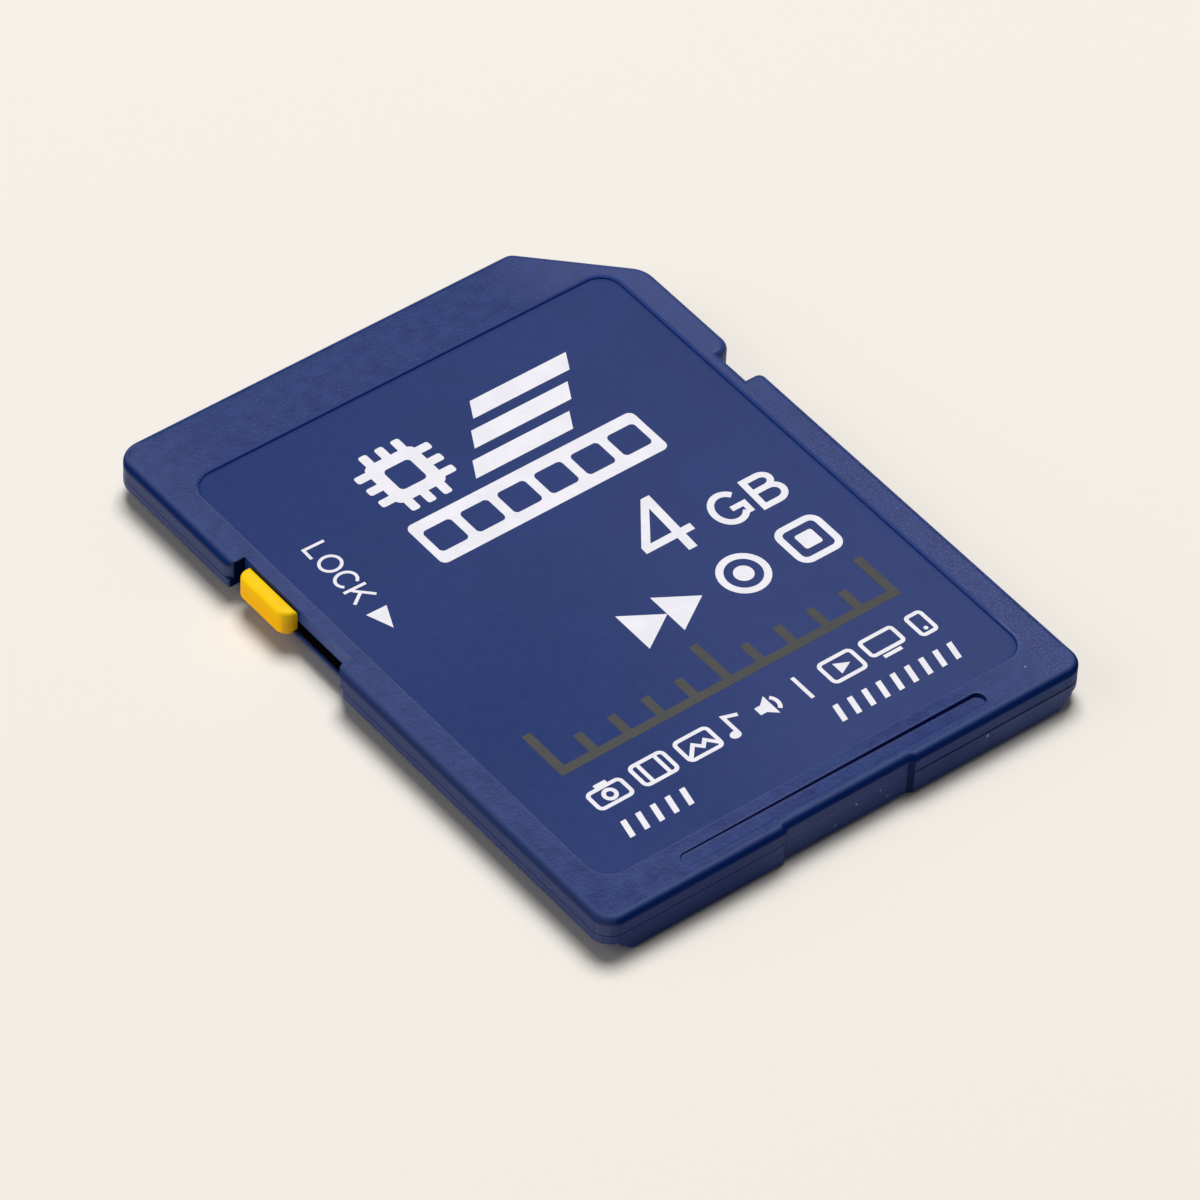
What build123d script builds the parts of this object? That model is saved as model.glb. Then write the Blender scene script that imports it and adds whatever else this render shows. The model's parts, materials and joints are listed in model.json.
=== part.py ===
"""Memory card: two moulded shells round a circuit board with gold contacts, and a write-lock slider.

Millimetres. The origin is the middle of the footprint, on the back face. +Z points to the label,
+Y to the contact end, which goes into the socket first, and +X to the side with the cut corner.
The card is sized from the inside out: its outline is the sum of its walls and of what they hold.
"""

import os
from math import sqrt

from build123d import *

# Case walls and edges
case_wall = 0.9
roof_thickness = 0.32
floor_thickness = 0.4
corner_radius = 0.9
left_front_radius = 1.15
rim_radius = 0.3
seam_line = 0.035
cut_corner = 4.0
cut_side_radius = 1.3
cut_front_radius = 0.65

# Back: its middle stands below the two side rails and slopes up to them
back_step = 0.7
back_slope = 0.8
back_edge_radius = 0.2
rail_width = 0.7
rail_edge_radius = 0.15

# Label recess and the film in it
label_side_margin = 1.45
label_front_margin = 3.2
label_rear_margin = 2.0
label_corner_radius = 1.0
label_recess_depth = 0.18
label_thickness = 0.08
label_gap = 0.02
label_edge_radius = 0.09

# Fingernail groove on the label face, deeper towards its cut-corner end, and the rear edge's recess
groove_length = 15.0
groove_width = 0.65
groove_depth = 0.13
groove_fall = 0.12
groove_edge_radius = 0.05
groove_setback = 1.0
rear_recess_width = 6.0
rear_recess_depth = 0.15
rear_recess_ramp = 0.25

# Key notch in the cut-corner side, placed from the contact end
key_notch_setback = 9.8
key_notch_length = 1.73
key_notch_depth = 0.77
key_rear_radius = 0.35
key_front_radius = 0.7
notch_wall = 0.6

# Lock notch in the other side, placed from the contact end: a lip above the slot and a ledge below it
lock_notch_setback = 7.9
lock_notch_length = 7.0
lock_notch_depth = 0.77
lock_notch_radius = 0.4
lip_height = 0.71
lip_thickness = 0.45
ledge_depth = 0.55
ledge_lean = 0.5
ledge_front_radius = 0.15
ledge_height = 0.25
ledge_width = 0.12
channel_floor_thickness = 0.15
channel_wall = 0.3

# Lock slider: a finger tab outside, a tongue through the slot and a head behind the lip
tab_length = 3.15
tab_inset = 0.03
tab_drop = 0.12
tab_lift = 0.1
tab_front_radius = 0.45
tab_rear_radius = 0.55
tab_edge_radius = 0.2
tab_foot_radius = 0.2
tongue_length = 2.4
head_length = 3.8
head_width = 0.5
end_clearance = 0.1
slide_clearance = 0.05
slot_clearance = 0.03

# Circuit board
board_thickness = 0.45
board_clearance = 0.1
board_seat = 0.6
pocket_radius = 0.4

# Contacts, in a row from the cut corner: number 9 first, then 1 to 7, and number 8 closer
contact_pitch = 2.5
last_contact_pitch = 1.7
pad_width = 1.5
last_pad_width = 1.0
pad_thickness = 0.05
pad_radius = 0.15
first_pad_margin = 1.15
last_pad_margin = 0.4
supply_pad_margin = 0.2
signal_pad_margin = 0.8
corner_pad_margin = 0.2
pad_rear_setback = 5.8
corner_pad_rear_setback = 7.4
window_gap = 0.1
window_rear_wall = 0.6

# Chips and small parts on the board
flash_width = 18.0
flash_length = 12.0
flash_rear_margin = 2.0
controller_size = 7.0
controller_x = 3.0
controller_rear_gap = 2.0
controller_front_gap = 0.9
chip_height = 0.35
chip_gap = 0.05
chip_chamfer = 0.08
small_part_count = 4
small_part_length = 1.0
small_part_width = 0.5
small_part_height = 0.3
small_part_pitch = 1.6
small_part_chamfer = 0.05
capacitor_column_gap = 2.0
resistor_column_gap = 5.0

# Heights, from the back face up
board_bottom = back_step + pad_thickness
seam = board_bottom + board_thickness
roof_bottom = seam + chip_height + chip_gap
label_floor = roof_bottom + roof_thickness
card_thickness = label_floor + label_recess_depth

# Lengths, from the rear edge to the contact end
window_block = window_rear_wall + window_gap + corner_pad_rear_setback
controller_room = controller_rear_gap + controller_size + controller_front_gap
card_length = flash_rear_margin + flash_length + controller_room + window_block
front = card_length / 2
rear = -card_length / 2
flash_middle = rear + flash_rear_margin + flash_length / 2
controller_middle = flash_middle + flash_length / 2 + controller_rear_gap + controller_size / 2
window_block_rear = front - window_block

# Widths, from the cut-corner side across the contact row
contact_row = ("9", "1", "2", "3", "4", "5", "6", "7")
last_contact = "8"
supply_contacts = ("3", "4", "6")
row_length = (len(contact_row) - 1) * contact_pitch
board_inset = case_wall + board_clearance
first_contact_inset = board_inset + first_pad_margin + pad_width / 2
last_contact_inset = board_inset + last_pad_margin + last_pad_width / 2
card_width = first_contact_inset + row_length + last_contact_pitch + last_contact_inset
left = -card_width / 2
right = card_width / 2

# Lock bay and key notch
lock_front = front - lock_notch_setback
lock_rear = lock_front - lock_notch_length
lock_middle = (lock_front + lock_rear) / 2
key_middle = front - key_notch_setback - key_notch_length / 2
lip_face = left + lock_notch_depth
lip_back = lip_face + lip_thickness
lip_bottom = card_thickness - lip_height
ledge_face = left + ledge_depth
ledge_top = back_step + ledge_height
head_face = lip_back + slide_clearance
channel_back = head_face + head_width + slide_clearance
channel_floor = back_step + channel_floor_thickness
bay_edge = channel_back + channel_wall
tongue_bottom = ledge_top + slot_clearance
tongue_top = lip_bottom - slot_clearance


def round_corner(plan, corner, radius):
    """Round the plan's vertex at the given corner, looked up anew because each rounding renews them."""
    fillet(plan.vertices().sort_by_distance(corner)[0], radius)


def cut_rectangle(width, length, cut, radius, left_radius, side_radius, front_radius):
    """Rectangle with its +X +Y corner cut off at 45 degrees. Its front corners have radii of their own."""
    with BuildSketch() as plan:
        with BuildLine():
            Polyline(
                (-width / 2, -length / 2),
                (width / 2, -length / 2),
                (width / 2, length / 2 - cut),
                (width / 2 - cut, length / 2),
                (-width / 2, length / 2),
                close=True,
            )
        make_face()
        corners = plan.vertices().sort_by(Axis((0, 0, 0), (1, 1, 0)))
        side_end, front_end = corners[3:].sort_by(Axis.Y)
        rear_left_end, rear_right_end, left_end = corners[:3].sort_by(Axis.Y)
        round_corner(plan, rear_left_end, radius)
        round_corner(plan, rear_right_end, radius)
        round_corner(plan, left_end, left_radius)
        round_corner(plan, side_end, side_radius)
        round_corner(plan, front_end, front_radius)
    return plan.sketch


def inset_outline(inset, radius, left_radius, side_radius, front_radius):
    """The card's outline moved inwards by inset, with the cut corner moved in parallel."""
    cut = cut_corner - inset * (2 - sqrt(2))
    width = card_width - 2 * inset
    length = card_length - 2 * inset
    return cut_rectangle(width, length, cut, radius, left_radius, side_radius, front_radius)


def rear_recess():
    """Long flat trapezium that cuts the shallow recess into the rear edge."""
    with BuildSketch() as plan:
        with BuildLine():
            Polyline(
                (-rear_recess_width / 2 - rear_recess_ramp, rear),
                (-rear_recess_width / 2, rear + rear_recess_depth),
                (rear_recess_width / 2, rear + rear_recess_depth),
                (rear_recess_width / 2 + rear_recess_ramp, rear),
                close=True,
            )
        make_face()
    return plan.sketch


def case_plan():
    """The card's outline with the key notch and the rear recess cut into it."""
    with BuildSketch() as plan:
        add(inset_outline(0, corner_radius, left_front_radius, cut_side_radius, cut_front_radius))
        with Locations((right, key_middle)):
            Rectangle(
                key_notch_depth,
                key_notch_length,
                align=(Align.MAX, Align.CENTER),
                mode=Mode.SUBTRACT,
            )
        key_rear_end, key_front_end = plan.vertices().group_by(Axis.X)[-1].sort_by(Axis.Y)[1:3]
        round_corner(plan, key_rear_end, key_rear_radius)
        round_corner(plan, key_front_end, key_front_radius)
        add(rear_recess(), mode=Mode.SUBTRACT)
    return plan.sketch


def notched_plan(depth, front_radius, lean=0):
    """The case plan with the lock notch. Its rear end leans by as much as lean to either side."""
    with BuildSketch() as plan:
        add(case_plan())
        with BuildSketch(mode=Mode.SUBTRACT):
            with BuildLine():
                Polyline(
                    (left, lock_front),
                    (left + depth, lock_front),
                    (left + depth, lock_rear + lean),
                    (left, lock_rear - lean),
                    close=True,
                )
            make_face()
        lock_rear_end, lock_front_end = plan.vertices().group_by(Axis.X)[0].sort_by(Axis.Y)[1:-1]
        round_corner(plan, lock_rear_end, lock_notch_radius)
        round_corner(plan, lock_front_end, front_radius)
    return plan.sketch


def pocket_plan(inset, bay_end, grow=0):
    """Inside of the case: the outline moved in, less the lock bay and the wall round the key notch."""
    with BuildSketch() as plan:
        add(inset_outline(inset, pocket_radius, pocket_radius, pocket_radius, pocket_radius))
        with Locations((left, lock_middle)):
            Rectangle(
                bay_end + grow - left,
                lock_notch_length + 2 * (notch_wall + grow),
                align=(Align.MIN, Align.CENTER),
                mode=Mode.SUBTRACT,
            )
        with Locations((right, key_middle)):
            Rectangle(
                key_notch_depth + notch_wall + grow,
                key_notch_length + 2 * (notch_wall + grow),
                align=(Align.MAX, Align.CENTER),
                mode=Mode.SUBTRACT,
            )
    return plan.sketch


def behind_contacts():
    """Everything behind the block that holds the contact windows."""
    with BuildSketch() as plan:
        with Locations((0, window_block_rear)):
            Rectangle(card_width, card_length, align=(Align.CENTER, Align.MAX))
    return plan.sketch


def lock_strip(near_x, far_x):
    """Rectangle as long as the lock notch, from near_x to far_x across the card."""
    with BuildSketch() as plan:
        with Locations((near_x, lock_middle)):
            Rectangle(far_x - near_x, lock_notch_length, align=(Align.MIN, Align.CENTER))
    return plan.sketch


def label_plan(gap=0):
    """Rounded rectangle of the label recess, less a gap on every side."""
    width = card_width - 2 * label_side_margin
    length = card_length - label_front_margin - label_rear_margin
    with BuildSketch() as plan:
        with Locations((0, (label_rear_margin - label_front_margin) / 2)):
            RectangleRounded(width - 2 * gap, length - 2 * gap, label_corner_radius - gap)
    return plan.sketch


# Top shell
with BuildPart() as top_shell:
    with BuildSketch(Plane.XY.offset(seam + seam_line)):
        add(case_plan())
    extrude(amount=card_thickness - seam - seam_line)
    fillet(top_shell.faces().sort_by(Axis.Z)[-1].edges(), rim_radius)
    # Fine step at the parting line
    with BuildSketch(Plane.XY.offset(seam)):
        add(case_plan())
        add(
            inset_outline(
                seam_line,
                corner_radius - seam_line,
                left_front_radius - seam_line,
                cut_side_radius - seam_line,
                cut_front_radius - seam_line,
            ),
            mode=Mode.INTERSECT,
        )
    extrude(amount=seam_line)
    # Lock notch, cut through the rounded rim
    with BuildSketch(Plane.XY.offset(seam)):
        add(notched_plan(lock_notch_depth, lock_notch_radius))
    extrude(amount=card_thickness - seam, mode=Mode.INTERSECT)
    # Label recess
    with BuildSketch(Plane.XY.offset(label_floor)):
        add(label_plan())
    extrude(amount=label_recess_depth, mode=Mode.SUBTRACT)
    fillet(top_shell.faces().sort_by(Axis.Z)[-1].inner_wires()[0].edges(), label_edge_radius)
    # Fingernail groove
    with BuildSketch(Plane(
        origin=(0, rear + groove_setback, card_thickness - groove_depth),
        x_dir=(groove_length, 0, -groove_fall),
        z_dir=(groove_fall, 0, groove_length),
    )):
        SlotOverall(groove_length, groove_width)
    extrude(amount=groove_depth + groove_fall, mode=Mode.SUBTRACT)
    groove_rim = top_shell.faces().sort_by(Axis.Z)[-1].inner_wires().sort_by(SortBy.LENGTH)[0]
    fillet(groove_rim.edges(), groove_edge_radius)
    # Room for the chips, which stops short of the solid block that backs the contacts
    with BuildSketch(Plane.XY.offset(seam)):
        add(pocket_plan(case_wall, lip_back))
        add(behind_contacts(), mode=Mode.INTERSECT)
    extrude(amount=roof_bottom - seam, mode=Mode.SUBTRACT)
    # Channel for the slider's head, and the slot through the lip for its tongue
    with BuildSketch(Plane.XY.offset(seam)):
        add(lock_strip(lip_back, channel_back))
    extrude(amount=roof_bottom - seam, mode=Mode.SUBTRACT)
    with BuildSketch(Plane.XY.offset(seam)):
        add(lock_strip(lip_face, lip_back))
    extrude(amount=lip_bottom - seam, mode=Mode.SUBTRACT)

# Each contact is its name, its middle across the card, its width and its front and rear ends
board_front = front - board_inset
signal_front = board_front - signal_pad_margin
row_rear = front - pad_rear_setback
contacts = []
for place, contact in enumerate(contact_row):
    middle = right - first_contact_inset - place * contact_pitch
    row_front = board_front - supply_pad_margin if contact in supply_contacts else signal_front
    contacts.append((contact, middle, pad_width, row_front, row_rear))
last_middle = middle - last_contact_pitch
contacts.append((last_contact, last_middle, last_pad_width, signal_front, row_rear))

# The pad beside the cut corner sits back, inside the board's cut edge
corner_middle = right - first_contact_inset
board_cut_line = right + front - cut_corner - sqrt(2) * board_inset
corner_front = board_cut_line - corner_middle - pad_width / 2 - corner_pad_margin
corner_rear = front - corner_pad_rear_setback
contacts[0] = (contact_row[0], corner_middle, pad_width, corner_front, corner_rear)

# Thick middle of the back, which slopes up to the rail on either side
middle_side = right - rail_width
with BuildPart() as back_middle:
    with BuildSketch():
        add(case_plan())
    extrude(amount=seam)
    with BuildSketch(Plane.XZ):
        with BuildLine():
            Polyline(
                (back_slope - middle_side, 0),
                (middle_side - back_slope, 0),
                (middle_side, back_step),
                (middle_side, seam),
                (-middle_side, seam),
                (-middle_side, back_step),
                close=True,
            )
        make_face()
    extrude(amount=card_length, both=True, mode=Mode.INTERSECT)
    fillet(back_middle.faces().sort_by(Axis.Z)[0].edges(), back_edge_radius)

# Bottom shell
with BuildPart() as bottom_shell:
    with BuildSketch(Plane.XY.offset(back_step)):
        add(notched_plan(ledge_depth, ledge_front_radius, ledge_lean))
    extrude(amount=seam - back_step)
    fillet(bottom_shell.faces().sort_by(Axis.Z)[0].edges(), rail_edge_radius)
    add(back_middle.part)
    # Lock bay above the ledge, and the channel behind it for the slider's head
    with BuildSketch(Plane.XY.offset(ledge_top)):
        add(lock_strip(left, channel_back))
    extrude(amount=seam - ledge_top, mode=Mode.SUBTRACT)
    with BuildSketch(Plane.XY.offset(channel_floor)):
        add(lock_strip(ledge_face + ledge_width, channel_back))
    extrude(amount=seam - channel_floor, mode=Mode.SUBTRACT)
    # Pocket for the board, and the hollow under it behind the contacts
    with BuildSketch(Plane.XY.offset(board_bottom)):
        add(pocket_plan(case_wall, bay_edge))
    extrude(amount=board_thickness, mode=Mode.SUBTRACT)
    with BuildSketch(Plane.XY.offset(floor_thickness)):
        add(pocket_plan(case_wall + board_seat, bay_edge, board_seat))
        add(behind_contacts(), mode=Mode.INTERSECT)
    extrude(amount=board_bottom - floor_thickness, mode=Mode.SUBTRACT)
    # Contact windows, open at the contact end, with a rib left between each two
    with BuildSketch():
        for _, middle, width, _, pad_rear in contacts:
            with Locations((middle, pad_rear - window_gap)):
                Rectangle(
                    width + 2 * window_gap,
                    front - pad_rear + window_gap,
                    align=(Align.CENTER, Align.MIN),
                )
    extrude(amount=board_bottom, mode=Mode.SUBTRACT)

# Lock slider, at the unlocked end of its notch
tab_middle = lock_front - end_clearance - head_length / 2
tab_face = left + tab_inset
tab_back = lip_face - slide_clearance
tab_bottom = back_step + tab_lift
tab_top = card_thickness - tab_drop
head_bottom = channel_floor + slide_clearance
with BuildPart() as lock_slider:
    with BuildSketch(Plane.XY.offset(tab_bottom)) as tab_plan:
        with Locations((tab_face, tab_middle)):
            Rectangle(tab_back - tab_face, tab_length, align=(Align.MIN, Align.CENTER))
        tab_rear_corner, tab_front_corner = tab_plan.vertices().group_by(Axis.X)[0].sort_by(Axis.Y)
        round_corner(tab_plan, tab_rear_corner, tab_rear_radius)
        round_corner(tab_plan, tab_front_corner, tab_front_radius)
    extrude(amount=tab_top - tab_bottom)
    fillet(lock_slider.faces().sort_by(Axis.Z)[-1].edges(), tab_edge_radius)
    fillet(lock_slider.faces().sort_by(Axis.Z)[0].edges(), tab_foot_radius)
    # Step over the ledge
    with BuildSketch(Plane.XY.offset(tab_bottom)):
        with Locations((ledge_face - slide_clearance, tab_middle)):
            Rectangle(card_width, card_length, align=(Align.MIN, Align.CENTER))
    extrude(amount=tongue_bottom - tab_bottom, mode=Mode.SUBTRACT)
    # Tongue and head
    with BuildSketch(Plane.XY.offset(tongue_bottom)):
        with Locations((tab_back, tab_middle)):
            Rectangle(head_face - tab_back, tongue_length, align=(Align.MIN, Align.CENTER))
    extrude(amount=tongue_top - tongue_bottom)
    with BuildSketch(Plane.XY.offset(head_bottom)):
        with Locations((head_face, tab_middle)):
            Rectangle(head_width, head_length, align=(Align.MIN, Align.CENTER))
    extrude(amount=roof_bottom - slide_clearance - head_bottom)

# Film in the label recess
with BuildPart() as front_label:
    with BuildSketch(Plane.XY.offset(label_floor)):
        add(label_plan(label_gap))
    extrude(amount=label_thickness)

# Circuit board
with BuildPart() as circuit_board:
    with BuildSketch(Plane.XY.offset(board_bottom)):
        add(pocket_plan(board_inset, bay_edge, board_clearance))
    extrude(amount=board_thickness)

pieces = {
    "top_shell": top_shell,
    "bottom_shell": bottom_shell,
    "lock_slider": lock_slider,
    "front_label": front_label,
    "circuit_board": circuit_board,
}

# Gold pads on the board's underside
for contact, middle, width, pad_front, pad_rear in contacts:
    with BuildPart() as contact_pad:
        with BuildSketch(Plane.XY.offset(back_step)):
            with Locations((middle, (pad_front + pad_rear) / 2)):
                RectangleRounded(width, pad_front - pad_rear, pad_radius)
        extrude(amount=pad_thickness)
    pieces[f"contact_pad_{contact}"] = contact_pad


def board_part(x, y, width, length, height, edge_chamfer):
    """Block that stands on the board's upper face, with its upper edges taken off."""
    with BuildPart() as block:
        with BuildSketch(Plane.XY.offset(seam)):
            with Locations((x, y)):
                Rectangle(width, length)
        extrude(amount=height)
        chamfer(block.faces().sort_by(Axis.Z)[-1].edges(), edge_chamfer)
    return block


# Memory chip at the rear, and the controller in front of it
pieces["flash_chip"] = board_part(
    0, flash_middle, flash_width, flash_length, chip_height, chip_chamfer
)
pieces["controller_chip"] = board_part(
    controller_x, controller_middle, controller_size, controller_size, chip_height, chip_chamfer
)

# Two columns of small parts beside the controller
controller_side = controller_x - controller_size / 2
for name, gap in (("capacitor", capacitor_column_gap), ("resistor", resistor_column_gap)):
    for place in range(small_part_count):
        pieces[f"{name}_{place + 1}"] = board_part(
            controller_side - gap,
            controller_middle + (place - (small_part_count - 1) / 2) * small_part_pitch,
            small_part_length,
            small_part_width,
            small_part_height,
            small_part_chamfer,
        )

os.makedirs("parts", exist_ok=True)
for name, piece in pieces.items():
    piece.part.label = name
    export_step(piece.part, f"parts/{name}.step")
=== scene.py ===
# %% [markdown]
# # Dressing a memory card
# The card comes in as finished solids: two moulded shells, a label film, a slider, and a board with its
# chips. Blender never moves or resizes them. This lesson gives every surface its finish, lays thin ink on the
# label, and sets up the light and the camera. Blender works in metres, so `mm` turns the card's own unit
# into them.

# %% Load the card
import json
import math

import bpy
import numpy as np
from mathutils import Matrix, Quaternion, Vector


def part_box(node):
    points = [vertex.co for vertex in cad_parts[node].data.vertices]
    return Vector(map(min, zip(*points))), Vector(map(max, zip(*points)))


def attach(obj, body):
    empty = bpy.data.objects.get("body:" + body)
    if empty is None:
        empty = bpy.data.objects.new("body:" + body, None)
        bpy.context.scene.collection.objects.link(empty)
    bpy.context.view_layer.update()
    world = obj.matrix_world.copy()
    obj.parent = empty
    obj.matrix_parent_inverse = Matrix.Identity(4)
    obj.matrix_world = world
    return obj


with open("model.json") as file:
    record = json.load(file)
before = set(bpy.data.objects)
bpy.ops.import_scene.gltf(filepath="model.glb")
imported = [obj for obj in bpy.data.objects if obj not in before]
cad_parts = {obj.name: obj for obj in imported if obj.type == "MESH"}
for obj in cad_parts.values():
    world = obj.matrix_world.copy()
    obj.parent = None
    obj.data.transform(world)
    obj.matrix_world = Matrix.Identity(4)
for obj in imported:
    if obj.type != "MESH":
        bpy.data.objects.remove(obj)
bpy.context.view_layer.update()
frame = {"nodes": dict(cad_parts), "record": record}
mm = 0.001
nodes = frame["nodes"]


# %% [markdown]
# ## Shader maths that reads as maths
# A procedural finish is a sum of masks and noises. Wiring each Math node by hand hides the formula, so one
# small class wraps an output socket and lets Python's operators add the nodes. Everything else a finish
# needs, from a noise to the shader itself, comes from its single `node` method.

# %% Wrap a socket
class Wire:
    """An output socket of a node tree, on which + - * and abs add Math nodes."""

    def __init__(self, tree, socket=None):
        self.tree = tree
        self.socket = socket

    def node(self, kind, settings=None, inputs=None, output=0):
        """Add one node: first its settings, then the value or link of each of its sockets."""
        made = self.tree.nodes.new("ShaderNode" + kind)
        for name, value in (settings or {}).items():
            setattr(made, name, value)
        for name, value in (inputs or {}).items():
            if isinstance(value, Wire):
                self.tree.links.new(value.socket, made.inputs[name])
            else:
                made.inputs[name].default_value = value
        return Wire(self.tree, made.outputs[output] if made.outputs else None)

    def maths(self, operation, first, second):
        """Add a Math node on two values."""
        return self.node("Math", {"operation": operation}, {0: first, 1: second})

    def __add__(self, other):
        return self.maths("ADD", self, other)

    def __sub__(self, other):
        return self.maths("SUBTRACT", self, other)

    def __rsub__(self, other):
        return self.maths("SUBTRACT", other, self)

    def __mul__(self, other):
        return self.maths("MULTIPLY", self, other)

    def __abs__(self):
        return self.maths("ABSOLUTE", self, 0.0)

    __radd__ = __add__
    __rmul__ = __mul__

    def larger(self, other):
        """The larger one of this value and another."""
        return self.maths("MAXIMUM", self, other)

    def step(self, low, high):
        """Smooth step from 0 at low to 1 at high. With low above high it runs the other way."""
        span = {"Value": self, "From Min": low, "From Max": high}
        return self.node("MapRange", {"interpolation_type": "SMOOTHSTEP"}, span)

    def mix(self, dark, light):
        """Colour that goes from dark to light as this value goes from 0 to 1."""
        return self.node("Mix", {"data_type": "RGBA"}, {0: self, 6: dark, 7: light}, output=2)


print("a Wire has:", [name for name in vars(Wire) if not name.startswith("__")])


# %% [markdown]
# ## Colours as they are seen
# Colours are easiest to judge as the 0 to 255 numbers of a screen, while shaders want linear light.
# One function converts them. Each finish starts from the same two things, a material with an empty tree and
# the object coordinates that every pattern is measured in, and ends by joining a shader to the output.

# %% Start and end a finish
def seen(red, green, blue):
    """Linear colour of a screen colour: below 0.04045 a straight line, above it a power of 2.4."""
    screen = np.array([red, green, blue]) / 255
    linear = np.where(screen <= 0.04045, screen / 12.92, ((screen + 0.055) / 1.055) ** 2.4)
    return (*linear.tolist(), 1.0)


def start_finish(name):
    """A new material and a Wire that carries its object coordinates."""
    material = bpy.data.materials.new(name)
    material.use_nodes = True
    material.node_tree.nodes.clear()
    place = Wire(material.node_tree).node("TexCoord", output="Object")
    return material, place


def end_finish(material, place, values, matte=None, share=0.0):
    """Join a shader with these input values to the output. A share of a second, matt one may cover it."""
    shader = place.node("BsdfPrincipled", inputs=values)
    if matte:
        cover = place.node("BsdfPrincipled", inputs=matte)
        shader = place.node("MixShader", inputs={0: share, 1: shader, 2: cover})
    place.node("OutputMaterial", inputs={"Surface": shader})
    print(material.name + ":", len(material.node_tree.nodes), "nodes")
    return material


print("middle grey in linear light:", round(seen(128, 128, 128)[0], 3))


# %% [markdown]
# ## Patterns
# Moulded plastic, lacquer and plated metal differ in their small structure: clouds, pebbles and grain. An
# image could carry it, but it needs an unwrapped surface and blurs up close. Noise in object coordinates has
# a size in millimetres on every piece, and a bump turns it into relief.

# %% Noise, pebbles, relief and specks
def noise(place, size, detail=2.0, roughness=0.5):
    """Cloudy noise from 0 to 1 whose blots are about size across."""
    values = {"Vector": place, "Scale": 1 / size, "Detail": detail, "Roughness": roughness}
    return place.node("TexNoise", inputs=values)


def pebbles(place, size):
    """Distance to the nearest of scattered points, about size apart: a bed of round pits."""
    return place.node("TexVoronoi", inputs={"Vector": place, "Scale": 1 / size})


def bump(place, height, depth):
    """Surface normal of a height field from 0 to 1 that is depth tall."""
    return place.node("Bump", inputs={"Height": height, "Distance": depth, "Strength": 1.0})


def near(place, x, y, z, radius):
    """1 at one point of the card, fading to 0 at radius. All are millimetres."""
    ends = {0: place, 1: (x * mm, y * mm, z * mm)}
    away = place.node("VectorMath", {"operation": "DISTANCE"}, ends, output="Value")
    return away.step(radius * mm, 0.5 * radius * mm)


print("patterns:", [maker.__name__ for maker in (noise, pebbles, bump, near)])


# %% [markdown]
# ## Masks
# A worn edge or a dark slot is a place on the card, so its mask is a formula of X, Y and Z: between two
# planes, or at some distance from an outline. Painted vertices could mark it too, but the solids' meshes stay
# as they are, and a formula is as sharp or soft as it is told to be.

# %% Masks in millimetres
def along(place, axis):
    """X, Y or Z of the place, in millimetres."""
    return place.node("SeparateXYZ", inputs={0: place}, output=axis) * (1 / mm)


def between(value, low, high, soft):
    """1 between low and high, fading to 0 within soft inside each end."""
    return value.step(low, low + soft) * value.step(high, high - soft)


def past_box(x, y, core, radius):
    """Distance outside a rounded box: how far a place lies from the core, which is the box of the corners'
    middles, less the corner radius. Inside the rounded box it is negative."""
    beyond_x = (abs(x) - core[0]).larger(0.0)
    beyond_y = (abs(y) - core[1]).larger(0.0)
    reach = x.node("CombineXYZ", inputs={0: beyond_x, 1: beyond_y})
    return x.node("VectorMath", {"operation": "LENGTH"}, {0: reach}, output="Value") - radius


print("masks:", [maker.__name__ for maker in (along, between, past_box)])


# %% [markdown]
# ## Places on the case
# These features of the case carry painted light, painted shade and dust: its outline, the label recess, the
# fingernail groove, the dent in the rear edge, the lock slot with its lip, and the parting line between the
# shells. Their places follow the solids, in millimetres, and each pair is where a feature starts and ends.

# %% Places on the case
case_core, case_radius = (11.1, 15.1), 0.9
recess_core, recess_radius, recess_middle = (9.55, 12.4), 1.0, -0.6
recess_sides, recess_ends, recess_heights = (-10.8, 10.8), (-14.2, 13.0), (1.93, 2.095)
groove_ends, groove_far_side = (-7.4, 7.4), (-14.82, -14.54)
dent_ends, dent_depth, dent_ramp = (-3.4, 3.4), 0.15, (2.96, 3.29)
slot_sides, slot_ends, slot_heights = (-11.37, -9.6), (1.1, 8.1), (0.78, 1.39)
lip_sides, brow_sides, seam_heights = (-11.26, -11.20), (-11.80, -11.62), (1.19, 1.245)
rear_plane, left_plane = (-15.80, -15.84), (-11.94, -11.98)
turn_low, turn_high = 1.72, 1.82
dust = [
    (9.82, -14.74, 2.1, 0.05),
    (10.35, -12.55, 2.1, 0.04),
    (10.55, -12.95, 2.1, 0.04),
    (6.95, -16.0, 1.02, 0.09),
    (1.66, -15.85, 1.07, 0.06),
    (2.05, -15.85, 0.55, 0.06),
    (0.46, -15.85, 1.03, 0.07),
    (-0.55, -15.85, 0.48, 0.06),
]
print("slot length in mm:", round(slot_ends[1] - slot_ends[0], 2), "specks of dust:", len(dust))
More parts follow.
